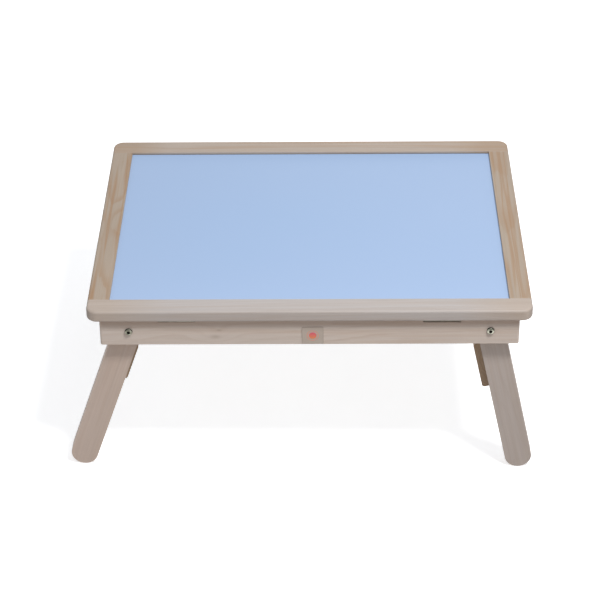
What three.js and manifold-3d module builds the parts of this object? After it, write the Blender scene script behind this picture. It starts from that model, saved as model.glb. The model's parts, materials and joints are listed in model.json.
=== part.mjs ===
// A drawing light box: a hinged pine lid that holds an edge-lit opal panel, on a
// low apron frame with two pairs of folding legs. Millimetres, +Z up, front is -Y.
//
// Inside the group "table" the coordinates are the table's own: x = 0 in the middle,
// y = 0 at the lid's front edge, z = 0 at the lid's top face. The outer group moves
// that point so that the feet stand at z = 0 under the middle of the whole object.

import * as THREE from 'three';
import { mergeVertices } from 'three/addons/utils/BufferGeometryUtils.js';
import Module from 'manifold-3d';

const wasm = await Module();
wasm.setup();

// ---------------------------------------------------------------- driving dimensions

const GAP = 0.3;

const LID_LENGTH = 600;
const LID_DEPTH = 480;
const LID_THICKNESS = 17;
const LID_CORNER_RADIUS = 15;
const LID_EDGE_RADIUS = 3.5;
const FRONT_RAIL_WIDTH = 31;
const REAR_RAIL_WIDTH = 35.7;
const SIDE_RAIL_WIDTH = 30;
const LIP_THICKNESS = 3.6;
const REBATE_WIDTH = 8;
const BACK_REBATE_WIDTH = 6;

const OPAL_THICKNESS = 2.5;
const GUIDE_THICKNESS = 2.4;
const REFLECTOR_THICKNESS = 0.5;
const BACK_THICKNESS = 1.5;
const STRIP_SPACE = 3;

const APRON_INSET = 7;
const APRON_END_INSET = 17;
const APRON_THICKNESS = 10;
const APRON_HEIGHT = 40;
const SIDE_APRON_THICKNESS = 12;
const SIDE_APRON_HEIGHT = 31;
const SIDE_APRON_END_INSET = 19;

const LEG_WIDTH = 37.2;
const LEG_THICKNESS = 20;
const LEG_REACH = 243;
const LEG_FACE_INSET = 19;
const PIVOT_X = 244;
const PIVOT_DROP = 36;
const LEFT_SPLAY = 19.2;
const RIGHT_SPLAY = 12.4;

const STRETCHER_THICKNESS = 12;
const STRETCHER_TOP = 34;
const STRETCHER_SETBACK = 12.5;
const LEFT_STRETCHER = { bottom: 92, proud: 4 };
const RIGHT_STRETCHER = { bottom: 106, proud: 10 };
const STRETCHER_EDGE_RADIUS = 3.5;
const WOOD_SCREW = { shank: 1.9, head: 3.4, rim: 0.5, neck: 2.2, taper: 3, length: 23 };

const BOLT_DIAMETER = 6;
const BOLT_RADIUS = BOLT_DIAMETER / 2;
const BOLT_HEAD_RADIUS = 5.25;
const BOLT_HEAD_HEIGHT = 3.3;
const BOLT_HEAD_RIM = 0.7;
const BOLT_SOCKET_FLATS = 4;
const BOLT_SOCKET_DEPTH = 2;
const BOLT_TIP_BEYOND_LEG = 8;
const NUT_FLATS = 10;
const NUT_HEIGHT = 5;
const NUT_FLANGE = 1.2;
const WASHER_RADIUS = 7;

const HINGE_X = 178.5;
const HINGE_LENGTH = 50;
const KNUCKLE_COUNT = 5;
const KNUCKLE_RADIUS = 1.7;
const HINGE_PIN_RADIUS = 0.7;
const LEAF_THICKNESS = 1.2;
const HINGE_AXIS_Y = 7.6;
const LEAF_REAR_MARGIN = 0.5;
const RELIEF_DEPTH = 1.5;
const RELIEF_REACH = 3;

const LABEL = { x: 4.4, width: 29.2, height: 27, lift: 0.8, thickness: 0.3, corner: 1.5 };

const PROP_WIDTH = 210;
const PROP_ROD_RADIUS = 2;
const PROP_LENGTH = 187.7;
const PROP_PIVOT_Y = 430;
const PROP_BEND_RADIUS = 8;
const PROP_TURNOUT = 20;
const PROP_CLEARANCE = 0.8;
const SADDLE = { width: 12, thickness: 1.1, ear: 9, inset: 6 };
const GROOVE_EXTRA_LENGTH = 7;

const SWITCH_X = 200;
const SOCKET_X = 236;
const POWER_Z = -8.6;
const POWER_RECESS = 3;
const SWITCH_BEZEL = { width: 15, height: 10.4, thickness: 1.4 };
const SWITCH_BODY = { width: 12.8, height: 8.2, depth: 12.5 };
const SWITCH_WINDOW = { margin: 0.4, depth: 5.5 };
const ROCKER = { width: 10.6, height: 6, axisDepth: 2, restAngle: -8 };
const SOCKET = {
  length: 14, flange: 1.4, flangeRadius: 5.2, barrelRadius: 4, boreRadius: 2.9, boreFloor: 4, pinRadius: 1,
};
const WIRING_POCKET = { depth: 8, leftReach: 11, rightReach: 9 };

const LEAD_RADIUS = 0.8;
const LINK_LEAD_RADIUS = 0.7;
const BACK_SCREW_COLUMN = 255;

// ---------------------------------------------------------------- derived sizes

const HALF_LENGTH = LID_LENGTH / 2;
const LID_UNDERSIDE = -LID_THICKNESS;
const REBATE_X = HALF_LENGTH - SIDE_RAIL_WIDTH + REBATE_WIDTH;
const PANEL_FRONT = FRONT_RAIL_WIDTH - REBATE_WIDTH;
const PANEL_REAR = LID_DEPTH - REAR_RAIL_WIDTH + REBATE_WIDTH;
const BACK_FRONT = PANEL_FRONT - BACK_REBATE_WIDTH;
const BACK_REAR = PANEL_REAR + BACK_REBATE_WIDTH;

const OPAL_TOP = -LIP_THICKNESS - GAP;
const GUIDE_TOP = OPAL_TOP - OPAL_THICKNESS - GAP;
const REFLECTOR_TOP = GUIDE_TOP - GUIDE_THICKNESS - GAP;
const BACK_TOP = REFLECTOR_TOP - REFLECTOR_THICKNESS - GAP;
const BACK_UNDERSIDE = BACK_TOP - BACK_THICKNESS;
const BACK_REBATE_TOP = BACK_TOP + GAP;

const APRON_TOP = LID_UNDERSIDE - GAP;
const APRON_BOTTOM = APRON_TOP - APRON_HEIGHT;
const APRON_HALF_LENGTH = HALF_LENGTH - APRON_END_INSET;
const APRON_BACK = APRON_INSET + APRON_THICKNESS;

const HINGE_AXIS_Z = APRON_TOP - KNUCKLE_RADIUS;
const LEAF_END_Y = APRON_BACK - LEAF_REAR_MARGIN;
const MORTISE_DEPTH = 2 * KNUCKLE_RADIUS + GAP;

const LEG_BACK_INSET = LEG_FACE_INSET + LEG_THICKNESS;
const FOOT_RADIUS = LEG_WIDTH / 2;
const FOOT_CENTRE = LEG_REACH - FOOT_RADIUS;
const LOWEST_FOOT = PIVOT_DROP + FOOT_CENTRE * cosDegrees(RIGHT_SPLAY) + FOOT_RADIUS;
const LEFT_FOOT_X = -PIVOT_X - FOOT_CENTRE * sinDegrees(LEFT_SPLAY) - FOOT_RADIUS;
const RIGHT_FOOT_X = PIVOT_X + FOOT_CENTRE * sinDegrees(RIGHT_SPLAY) + FOOT_RADIUS;

const PROP_Z = BACK_UNDERSIDE - PROP_ROD_RADIUS - PROP_CLEARANCE;

const POWER_FACE = LID_DEPTH - POWER_RECESS;
const POWER_BACK = PANEL_REAR + WIRING_POCKET.depth;

function cosDegrees(angle) {
  return Math.cos(THREE.MathUtils.degToRad(angle));
}

function sinDegrees(angle) {
  return Math.sin(THREE.MathUtils.degToRad(angle));
}

// ---------------------------------------------------------------- materials

const PALETTE = {
  pine: { color: 0xc6b29c, roughness: 0.62, metalness: 0 },
  pine_leg: { color: 0xb4a292, roughness: 0.66, metalness: 0 },
  pine_dark: { color: 0x8d7057, roughness: 0.75, metalness: 0 },
  opal: { color: 0xb4c7e8, roughness: 0.35, metalness: 0 },
  clear: { color: 0xdfe8ee, roughness: 0.1, metalness: 0 },
  white: { color: 0xf2f2ee, roughness: 0.5, metalness: 0 },
  sheet: { color: 0xb9bcbd, roughness: 0.45, metalness: 0.9 },
  bronze: { color: 0x5c5348, roughness: 0.4, metalness: 0.85 },
  steel: { color: 0x9c9d9b, roughness: 0.35, metalness: 0.95 },
  black: { color: 0x1d1d1f, roughness: 0.5, metalness: 0 },
  label: { color: 0xe9dfd0, roughness: 0.6, metalness: 0 },
};

// ---------------------------------------------------------------- geometry helpers

function box(x0, x1, y0, y1, z0, z1) {
  const geometry = new THREE.BoxGeometry(x1 - x0, y1 - y0, z1 - z0);
  geometry.translate((x0 + x1) / 2, (y0 + y1) / 2, (z0 + z1) / 2);
  return geometry;
}

function cylinderAlongY(radius, y0, y1, x, z, sides = 24) {
  const geometry = new THREE.CylinderGeometry(radius, radius, y1 - y0, sides);
  geometry.translate(x, (y0 + y1) / 2, z);
  return geometry;
}

function cylinderAlongX(radius, x0, x1, y, z, sides = 24) {
  const geometry = new THREE.CylinderGeometry(radius, radius, x1 - x0, sides);
  geometry.rotateZ(Math.PI / 2);
  geometry.translate((x0 + x1) / 2, y, z);
  return geometry;
}

// A shape drawn in x and z, given thickness from y0 to y1.
function extrudeAlongY(shape, y0, y1, curveSegments = 18) {
  const options = { depth: y1 - y0, bevelEnabled: false, curveSegments };
  const geometry = new THREE.ExtrudeGeometry(shape, options);
  geometry.rotateX(Math.PI / 2);
  geometry.translate(0, y1, 0);
  return geometry;
}

// A shape drawn in y and z, given thickness from x0 to x1.
function extrudeAlongX(shape, x0, x1, curveSegments = 6) {
  const options = { depth: x1 - x0, bevelEnabled: false, curveSegments };
  const geometry = new THREE.ExtrudeGeometry(shape, options);
  geometry.rotateY(Math.PI / 2);
  geometry.rotateX(Math.PI / 2);
  geometry.translate(x0, 0, 0);
  return geometry;
}

function roundedRectangle(x0, x1, y0, y1, radius) {
  const shape = new THREE.Shape();
  shape.moveTo(x0 + radius, y0);
  shape.lineTo(x1 - radius, y0);
  shape.absarc(x1 - radius, y0 + radius, radius, -Math.PI / 2, 0);
  shape.lineTo(x1, y1 - radius);
  shape.absarc(x1 - radius, y1 - radius, radius, 0, Math.PI / 2);
  shape.lineTo(x0 + radius, y1);
  shape.absarc(x0 + radius, y1 - radius, radius, Math.PI / 2, Math.PI);
  shape.lineTo(x0, y0 + radius);
  shape.absarc(x0 + radius, y0 + radius, radius, Math.PI, 1.5 * Math.PI);
  return shape;
}

// A profile of [radius, height] pairs turned about the y axis.
function turned(profile, sides = 24) {
  const points = profile.map(([radius, height]) => new THREE.Vector2(radius, height));
  return new THREE.LatheGeometry(points, sides);
}

function solidOf(geometry) {
  const plain = geometry.clone();
  plain.deleteAttribute('normal');
  plain.deleteAttribute('uv');
  const merged = mergeVertices(plain, 1e-4);
  return new wasm.Manifold(new wasm.Mesh({
    numProp: 3,
    vertProperties: new Float32Array(merged.attributes.position.array),
    triVerts: new Uint32Array(merged.index.array),
  }));
}

function geometryOf(solid) {
  const mesh = solid.getMesh();
  const geometry = new THREE.BufferGeometry();
  geometry.setAttribute('position', new THREE.BufferAttribute(mesh.vertProperties, 3));
  geometry.setIndex(new THREE.BufferAttribute(mesh.triVerts, 1));
  geometry.computeVertexNormals();
  return geometry;
}

function cut(geometry, ...tools) {
  const start = solidOf(geometry);
  return geometryOf(tools.reduce((solid, tool) => solid.subtract(solidOf(tool)), start));
}

function join(geometry, ...others) {
  const start = solidOf(geometry);
  return geometryOf(others.reduce((solid, other) => solid.add(solidOf(other)), start));
}

function common(geometry, other) {
  return geometryOf(solidOf(geometry).intersect(solidOf(other)));
}

function place(parent, name, geometry, finish) {
  const mesh = new THREE.Mesh(geometry, new THREE.MeshStandardMaterial(PALETTE[finish]));
  mesh.name = name;
  parent.add(mesh);
  return mesh;
}

// ---------------------------------------------------------------- lid frame

// The whole lid as one rounded board, which each rail takes its outer edges from.
function lidBlank() {
  const edge = LID_EDGE_RADIUS;
  const outline = roundedRectangle(
    -HALF_LENGTH + edge, HALF_LENGTH - edge, edge, LID_DEPTH - edge, LID_CORNER_RADIUS - edge);
  const geometry = new THREE.ExtrudeGeometry(outline, {
    depth: LID_THICKNESS - 2 * edge,
    bevelThickness: edge,
    bevelSize: edge,
    bevelSegments: 5,
    curveSegments: 8,
  });
  geometry.translate(0, 0, LID_UNDERSIDE + edge);
  return geometry;
}

function buildLidFrame(lid) {
  const blank = lidBlank();
  const below = LID_UNDERSIDE - 1;
  const above = 1;
  const outer = HALF_LENGTH + 1;
  const opening = HALF_LENGTH - SIDE_RAIL_WIDTH;
  const rearFace = LID_DEPTH - REAR_RAIL_WIDTH;

  const front = common(blank, box(-outer, outer, -1, FRONT_RAIL_WIDTH, below, above));
  place(lid, 'lid_front_rail', cut(
    front,
    box(-REBATE_X, REBATE_X, PANEL_FRONT, FRONT_RAIL_WIDTH + 1, below, -LIP_THICKNESS),
    box(-REBATE_X, REBATE_X, BACK_FRONT, FRONT_RAIL_WIDTH + 1, below, BACK_REBATE_TOP),
  ), 'pine');

  const rear = common(blank, box(-outer, outer, rearFace, LID_DEPTH + 1, below, above));
  place(lid, 'lid_rear_rail', cut(
    rear,
    box(-REBATE_X, REBATE_X, rearFace - 1, PANEL_REAR, below, -LIP_THICKNESS),
    box(-REBATE_X, REBATE_X, rearFace - 1, BACK_REAR, below, BACK_REBATE_TOP),
    ...powerPockets(),
  ), 'pine');

  for (const [name, side] of [['left', -1], ['right', 1]]) {
    const [x0, x1] = side < 0 ? [-outer, -opening] : [opening, outer];
    const [r0, r1] = side < 0 ? [-REBATE_X, -opening + 1] : [opening - 1, REBATE_X];
    const rail = common(blank, box(x0, x1, FRONT_RAIL_WIDTH + GAP, rearFace - GAP, below, above));
    const rebate = box(r0, r1, 0, LID_DEPTH, below, -LIP_THICKNESS);
    place(lid, `lid_${name}_rail`, cut(rail, rebate), 'pine');
  }
}

// ---------------------------------------------------------------- light pack

function buildLightPack(lid) {
  const halfWidth = REBATE_X - GAP;
  const guideHalfWidth = REBATE_X - STRIP_SPACE;
  const front = PANEL_FRONT + GAP;
  const rear = PANEL_REAR - GAP;
  const guideFront = PANEL_FRONT + STRIP_SPACE;
  const guideRear = PANEL_REAR - STRIP_SPACE;

  place(lid, 'opal_panel', box(
    -halfWidth, halfWidth, front, rear, OPAL_TOP - OPAL_THICKNESS, OPAL_TOP), 'opal');
  place(lid, 'light_guide', box(
    -guideHalfWidth, guideHalfWidth, guideFront, guideRear,
    GUIDE_TOP - GUIDE_THICKNESS, GUIDE_TOP), 'clear');
  place(lid, 'reflector_sheet', box(
    -halfWidth, halfWidth, front, rear,
    REFLECTOR_TOP - REFLECTOR_THICKNESS, REFLECTOR_TOP), 'white');
  place(lid, 'back_panel', cut(
    box(-halfWidth, halfWidth, BACK_FRONT + GAP, BACK_REAR - GAP, BACK_UNDERSIDE, BACK_TOP),
    ...backScrewPlaces().map(([x, y]) => screwHole(x, y))), 'sheet');

  place(lid, 'led_strip_front', ledStrip(front, 1), 'white');
  place(lid, 'led_strip_rear', ledStrip(rear, -1), 'white');

  place(lid, 'link_lead', cylinderAlongY(
    LINK_LEAD_RADIUS, front + 1, rear - 1, halfWidth - LINK_LEAD_RADIUS,
    GUIDE_TOP - GUIDE_THICKNESS / 2, 10), 'black');

  for (const [index, [x, y]] of backScrewPlaces().entries()) {
    place(lid, `back_screw_${index + 1}`, backScrew(x, y), 'steel');
  }
}

// A narrow board along one long edge of the light guide, with its lamps facing the guide.
function ledStrip(wallY, facing) {
  const boardThickness = 1.2;
  const lampDepth = 0.9;
  const lampWidth = 3;
  const lampPitch = 20;
  const lampsEachSide = 13;
  const lampMargin = 0.3;
  const rootDepth = 0.2;
  const bottom = GUIDE_TOP - GUIDE_THICKNESS;
  const boardFace = wallY + facing * boardThickness;
  const halfLength = REBATE_X - STRIP_SPACE - 1;
  const board = box(
    -halfLength, halfLength, Math.min(wallY, boardFace), Math.max(wallY, boardFace),
    bottom, GUIDE_TOP);
  const inside = boardFace - facing * rootDepth;
  const tip = boardFace + facing * lampDepth;
  const lamps = [];
  for (let index = -lampsEachSide; index <= lampsEachSide; index += 1) {
    const x = index * lampPitch;
    lamps.push(box(
      x - lampWidth / 2, x + lampWidth / 2, Math.min(inside, tip), Math.max(inside, tip),
      bottom + lampMargin, GUIDE_TOP - lampMargin));
  }
  return join(board, ...lamps);
}

function backScrewPlaces() {
  const frontRow = BACK_FRONT + BACK_REBATE_WIDTH / 2;
  const rearRow = BACK_REAR - BACK_REBATE_WIDTH / 2;
  const columns = [-BACK_SCREW_COLUMN, 0, BACK_SCREW_COLUMN];
  return [...columns.map((x) => [x, frontRow]), ...columns.map((x) => [x, rearRow])];
}

function screwHole(x, y) {
  const radius = 1.6;
  const geometry = new THREE.CylinderGeometry(radius, radius, 2 * BACK_THICKNESS + 1, 16);
  geometry.rotateX(Math.PI / 2);
  geometry.translate(x, y, BACK_UNDERSIDE);
  return geometry;
}

// A small pan-head screw, driven upwards through the back panel.
function backScrew(x, y) {
  const head = 2.4;
  const height = 1.5;
  const shank = 1.2;
  const tip = BACK_THICKNESS + GAP - 0.05;
  const slotDepth = 0.7;
  const slotHalfWidth = 0.35;
  const geometry = turned([
    [0, -height], [0.6 * head, -height], [0.88 * head, -0.75 * height], [head, -0.33 * height],
    [head, 0], [shank, 0], [shank, tip - 0.4], [0, tip],
  ], 16);
  const slot = box(-2, 2, -height - 1, -height + slotDepth, -slotHalfWidth, slotHalfWidth);
  const screw = cut(geometry, slot);
  screw.rotateX(Math.PI / 2);
  screw.translate(x, y, BACK_UNDERSIDE - GAP);
  return screw;
}

// ---------------------------------------------------------------- power inlet and switch

// A box centred on the switch in x and z, grown on those sides by "margin".
function switchBox(size, margin, y0, y1) {
  const halfWidth = size.width / 2 + margin;
  const halfHeight = size.height / 2 + margin;
  return box(
    SWITCH_X - halfWidth, SWITCH_X + halfWidth, y0, y1, POWER_Z - halfHeight, POWER_Z + halfHeight);
}

// The openings in the rear rail: two stepped holes from behind and a wiring pocket inside.
function powerPockets() {
  const recess = POWER_FACE - SWITCH_BEZEL.thickness - GAP;
  const outside = LID_DEPTH + 1;
  return [
    switchBox(SWITCH_BEZEL, GAP, recess, outside),
    switchBox(SWITCH_BODY, GAP, POWER_BACK - 1, LID_DEPTH),
    cylinderAlongY(SOCKET.flangeRadius + GAP, recess, outside, SOCKET_X, POWER_Z, 32),
    cylinderAlongY(SOCKET.barrelRadius + GAP, POWER_BACK - 1, LID_DEPTH, SOCKET_X, POWER_Z, 28),
    box(
      SWITCH_X - WIRING_POCKET.leftReach, SOCKET_X + WIRING_POCKET.rightReach,
      PANEL_REAR - 1, POWER_BACK, BACK_REBATE_TOP - 1, -LIP_THICKNESS),
  ];
}

function buildPower(lid) {
  buildSwitch(lid);
  buildSocket(lid);
  buildLeads(lid);
}

function buildSwitch(lid) {
  const shoulder = POWER_FACE - SWITCH_BEZEL.thickness;
  const bezel = switchBox(SWITCH_BEZEL, 0, shoulder, POWER_FACE);
  const body = switchBox(SWITCH_BODY, 0, POWER_FACE - SWITCH_BODY.depth, shoulder + 0.2);
  const window = switchBox(
    ROCKER, SWITCH_WINDOW.margin, POWER_FACE - SWITCH_WINDOW.depth, POWER_FACE + 1);
  place(lid, 'switch_body', cut(join(bezel, body), window), 'black');

  const rockerPivot = new THREE.Group();
  rockerPivot.position.set(SWITCH_X, POWER_FACE - ROCKER.axisDepth, POWER_Z);
  rockerPivot.rotation.z = THREE.MathUtils.degToRad(ROCKER.restAngle);
  lid.add(rockerPivot);
  place(rockerPivot, 'switch_rocker', rockerButton(), 'black');
}

// The rocker seen from above is a shallow V whose two wings are pressed in turn.
function rockerButton() {
  const half = ROCKER.width / 2 - 0.15;
  const waist = 0.5;
  const shoulder = -0.9;
  const hubRadius = 1.8;
  const wingTip = 3;
  const valley = 1.1;
  const shape = new THREE.Shape();
  shape.moveTo(-half, waist);
  shape.lineTo(-half + 0.5, shoulder);
  shape.absarc(0, shoulder, hubRadius, Math.PI, 2 * Math.PI);
  shape.lineTo(half - 0.5, shoulder);
  shape.lineTo(half, waist);
  shape.lineTo(half - 0.6, wingTip);
  shape.quadraticCurveTo(0, valley, -half + 0.6, wingTip);
  const options = { depth: ROCKER.height, bevelEnabled: false, curveSegments: 10 };
  const geometry = new THREE.ExtrudeGeometry(shape, options);
  geometry.translate(0, 0, -ROCKER.height / 2);
  return geometry;
}

// A low-voltage barrel socket: flange outwards, a blind bore and its centre pin.
function buildSocket(lid) {
  const { length, flange, flangeRadius, barrelRadius, boreRadius, boreFloor, pinRadius } = SOCKET;
  const chamfer = 0.4;
  const pinTip = length - 2;
  const geometry = turned([
    [0, 0], [barrelRadius, 0], [barrelRadius, length - flange], [flangeRadius, length - flange],
    [flangeRadius, length - chamfer], [flangeRadius - chamfer, length], [boreRadius, length],
    [boreRadius, boreFloor], [pinRadius, boreFloor], [pinRadius, pinTip - chamfer], [0, pinTip],
  ], 32);
  geometry.translate(SOCKET_X, POWER_FACE - length, POWER_Z);
  place(lid, 'dc_socket', geometry, 'black');
}

// Two short insulated leads: socket to switch, and switch to the rear lamp strip.
function buildLeads(lid) {
  const tagSpacing = 3;
  const bend = 2.4;
  const run = PANEL_REAR + 3.4;
  const socketBack = POWER_FACE - SOCKET.length - GAP;
  const switchBack = POWER_FACE - SWITCH_BODY.depth - GAP;
  const at = (x, y) => new THREE.Vector3(x, y, POWER_Z);
  const tag = SWITCH_X + tagSpacing;
  const route = new THREE.CurvePath();
  addRoundedRoute(route, [
    at(SOCKET_X, socketBack), at(SOCKET_X, run), at(tag, run), at(tag, switchBack),
  ], bend);
  place(lid, 'socket_lead', rodAlong(route, LEAD_RADIUS, 8, 20), 'black');
  place(lid, 'strip_lead', cylinderAlongY(
    LEAD_RADIUS, PANEL_REAR + 0.1, switchBack, SWITCH_X - tagSpacing, POWER_Z, 12), 'black');
}

// Straight runs joined by quarter bends, through the listed corner points.
function addRoundedRoute(path, points, radius) {
  let from = points[0];
  for (let index = 1; index < points.length - 1; index += 1) {
    const corner = points[index];
    const before = corner.clone().add(points[index - 1].clone().sub(corner).setLength(radius));
    const after = corner.clone().add(points[index + 1].clone().sub(corner).setLength(radius));
    path.add(new THREE.LineCurve3(from, before));
    path.add(new THREE.QuadraticBezierCurve3(before, corner, after));
    from = after;
  }
  path.add(new THREE.LineCurve3(from, points[points.length - 1]));
}

// A rod or wire of the given radius, whose section has the given number of sides.
function rodAlong(path, radius, sides, steps) {
  const section = new THREE.Shape();
  section.absarc(0, 0, radius, 0, 2 * Math.PI);
  return new THREE.ExtrudeGeometry(section, {
    steps, extrudePath: path, curveSegments: sides / 2, bevelEnabled: false,
  });
}

// ---------------------------------------------------------------- lid hinges

// One leaf of a butt hinge: a plate and the barrels whose places are listed in "knuckles".
function leafWithKnuckles(centreX, leafZ, knuckles) {
  const x0 = centreX - HINGE_LENGTH / 2;
  const x1 = centreX + HINGE_LENGTH / 2;
  const pitch = HINGE_LENGTH / KNUCKLE_COUNT;
  const radius = KNUCKLE_RADIUS;
  const leaf = box(x0, x1, HINGE_AXIS_Y, LEAF_END_Y, leafZ, leafZ + LEAF_THICKNESS);
  const barrels = [];
  const clearances = [];
  for (let index = 0; index < KNUCKLE_COUNT; index += 1) {
    const start = x0 + index * pitch;
    if (knuckles.includes(index)) {
      const inset0 = index === 0 ? 0 : GAP / 2;
      const inset1 = index === KNUCKLE_COUNT - 1 ? 0 : GAP / 2;
      barrels.push(cylinderAlongX(
        radius, start + inset0, start + pitch - inset1, HINGE_AXIS_Y, HINGE_AXIS_Z));
    } else {
      clearances.push(box(
        start - GAP / 2, start + pitch + GAP / 2, 0, HINGE_AXIS_Y + radius + GAP,
        HINGE_AXIS_Z - radius - 1, HINGE_AXIS_Z + radius + 1));
    }
  }
  const bore = cylinderAlongX(
    HINGE_PIN_RADIUS + GAP, x0 - 1, x1 + 1, HINGE_AXIS_Y, HINGE_AXIS_Z, 16);
  return cut(join(cut(leaf, ...clearances), ...barrels), bore);
}

function buildHinge(name, centreX, lid, base) {
  const lidLeafZ = HINGE_AXIS_Z + KNUCKLE_RADIUS - LEAF_THICKNESS;
  const baseLeafZ = HINGE_AXIS_Z - KNUCKLE_RADIUS;
  const lidLeaf = leafWithKnuckles(centreX, lidLeafZ, [1, 3]);
  const apronLeaf = leafWithKnuckles(centreX, baseLeafZ, [0, 2, 4]);
  place(lid, `${name}_hinge_lid_leaf`, lidLeaf, 'bronze');
  place(base, `${name}_hinge_apron_leaf`, apronLeaf, 'bronze');
  place(base, `${name}_hinge_pin`, cylinderAlongX(
    HINGE_PIN_RADIUS, centreX - HINGE_LENGTH / 2, centreX + HINGE_LENGTH / 2,
    HINGE_AXIS_Y, HINGE_AXIS_Z, 16), 'bronze');
}

// ---------------------------------------------------------------- apron frame

function longApron(outerY, innerY) {
  const y0 = Math.min(outerY, innerY);
  const y1 = Math.max(outerY, innerY);
  const cornerRadius = 3;
  const outline = roundedRectangle(-APRON_HALF_LENGTH, APRON_HALF_LENGTH, y0, y1, cornerRadius);
  const geometry = new THREE.ExtrudeGeometry(outline, {
    depth: APRON_HEIGHT, bevelEnabled: false, curveSegments: 6,
  });
  geometry.translate(0, 0, APRON_BOTTOM);
  return geometry;
}

function boltBores(y0, y1) {
  return [-PIVOT_X, PIVOT_X].map((x) => cylinderAlongY(
    BOLT_RADIUS + GAP, y0 - 1, y1 + 1, x, -PIVOT_DROP));
}

// The seat of a hinge in the front apron's top edge, as deep as its closed knuckle.
function hingeMortise(centreX, y1, depth) {
  const half = HINGE_LENGTH / 2 + GAP;
  return box(centreX - half, centreX + half, 0, y1, APRON_TOP - depth, APRON_TOP + 1);
}

function buildAprons(base) {
  const relief = hingeMortise(HINGE_X, APRON_INSET + RELIEF_REACH, MORTISE_DEPTH + RELIEF_DEPTH);
  place(base, 'front_apron', cut(
    longApron(APRON_INSET, APRON_BACK),
    hingeMortise(-HINGE_X, APRON_BACK + 1, MORTISE_DEPTH),
    hingeMortise(HINGE_X, APRON_BACK + 1, MORTISE_DEPTH),
    relief,
    ...boltBores(APRON_INSET, APRON_BACK),
  ), 'pine');

  const rearOuter = LID_DEPTH - APRON_INSET;
  const rearInner = LID_DEPTH - APRON_BACK;
  const grooveHalfLength = PROP_WIDTH / 2 + GROOVE_EXTRA_LENGTH;
  const propGroove = cylinderAlongX(
    PROP_ROD_RADIUS + GAP, -grooveHalfLength, grooveHalfLength,
    (rearOuter + rearInner) / 2, APRON_TOP, 20);
  place(base, 'rear_apron', cut(
    longApron(rearOuter, rearInner), propGroove, ...boltBores(rearInner, rearOuter)), 'pine');

  const outer = HALF_LENGTH - SIDE_APRON_END_INSET;
  const inner = outer - SIDE_APRON_THICKNESS;
  for (const [name, x0, x1] of [['left', -outer, -inner], ['right', inner, outer]]) {
    place(base, `${name}_apron`, box(
      x0, x1, APRON_BACK + GAP, rearInner - GAP, APRON_TOP - SIDE_APRON_HEIGHT, APRON_TOP), 'pine');
  }
}

// A plain stuck-on label near the middle of the front apron.
function buildLabel(base) {
  const bottom = APRON_BOTTOM + LABEL.lift;
  const front = APRON_INSET - GAP - LABEL.thickness;
  const shape = roundedRectangle(
    LABEL.x - LABEL.width / 2, LABEL.x + LABEL.width / 2, bottom, bottom + LABEL.height,
    LABEL.corner);
  place(base, 'front_label', extrudeAlongY(shape, front, front + LABEL.thickness, 4), 'label');
}

// ---------------------------------------------------------------- pivots

// One pivot: a domed socket-head bolt through apron and leg, a washer between the two
// boards and a flanged nut inside. "outward" is -1 at the front and 1 at the rear.
function buildPivot(base, name, x, outward) {
  const mirror = (inset) => (outward < 0 ? inset : LID_DEPTH - inset);
  const group = new THREE.Group();
  group.position.set(x, mirror(0), -PIVOT_DROP);
  group.rotation.z = outward < 0 ? 0 : Math.PI;
  base.add(group);
  place(group, `${name}_bolt`, pivotBolt(), 'bronze');
  place(group, `${name}_washer`, washer(APRON_BACK + GAP, LEG_FACE_INSET - GAP), 'steel');
  place(group, `${name}_nut`, flangedNut(LEG_BACK_INSET + GAP), 'steel');
}

function hexagonAlongY(acrossFlats, y0, y1) {
  return cylinderAlongY(acrossFlats / Math.sqrt(3), y0, y1, 0, 0, 6);
}

function pivotBolt() {
  const domeSteps = 8;
  const chamfer = 0.6;
  const underHead = APRON_INSET - GAP;
  const crown = underHead - BOLT_HEAD_HEIGHT;
  const tip = LEG_BACK_INSET + BOLT_TIP_BEYOND_LEG;
  const profile = [];
  for (let step = 0; step <= domeSteps; step += 1) {
    const angle = (step / domeSteps) * (Math.PI / 2);
    const rise = (BOLT_HEAD_HEIGHT - BOLT_HEAD_RIM) * Math.cos(angle);
    profile.push([BOLT_HEAD_RADIUS * Math.sin(angle), underHead - BOLT_HEAD_RIM - rise]);
  }
  profile.push([BOLT_HEAD_RADIUS, underHead], [BOLT_RADIUS, underHead]);
  profile.push([BOLT_RADIUS, tip - chamfer], [BOLT_RADIUS - chamfer, tip], [0, tip]);
  const socket = hexagonAlongY(BOLT_SOCKET_FLATS, crown - 1, crown + BOLT_SOCKET_DEPTH);
  return cut(turned(profile), socket);
}

function washer(y0, y1) {
  const bore = BOLT_RADIUS + GAP;
  return turned([[bore, y0], [WASHER_RADIUS, y0], [WASHER_RADIUS, y1], [bore, y1], [bore, y0]]);
}

function flangedNut(y0) {
  const bore = BOLT_RADIUS + GAP;
  const flangeTop = y0 + NUT_FLANGE;
  const flange = turned([
    [bore, y0], [WASHER_RADIUS, y0], [WASHER_RADIUS - 0.4, flangeTop], [bore, flangeTop], [bore, y0],
  ]);
  const hexagon = hexagonAlongY(NUT_FLATS, flangeTop - 0.4, y0 + NUT_FLANGE + NUT_HEIGHT - 0.4);
  return join(flange, cut(hexagon, cylinderAlongY(bore, y0, y0 + 2 * NUT_HEIGHT, 0, 0)));
}

// ---------------------------------------------------------------- leg pairs

// In a leg pair the pivot axis is at x = 0, z = 0 and the legs hang straight down.
// "inward" is the x direction that faces the middle of the table.
function legOutline() {
  const half = LEG_WIDTH / 2;
  const shape = new THREE.Shape();
  shape.moveTo(-half, 0);
  shape.lineTo(-half, -FOOT_CENTRE);
  shape.absarc(0, -FOOT_CENTRE, FOOT_RADIUS, Math.PI, 2 * Math.PI);
  shape.lineTo(half, 0);
  shape.absarc(0, 0, half, 0, Math.PI);
  return shape;
}

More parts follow.
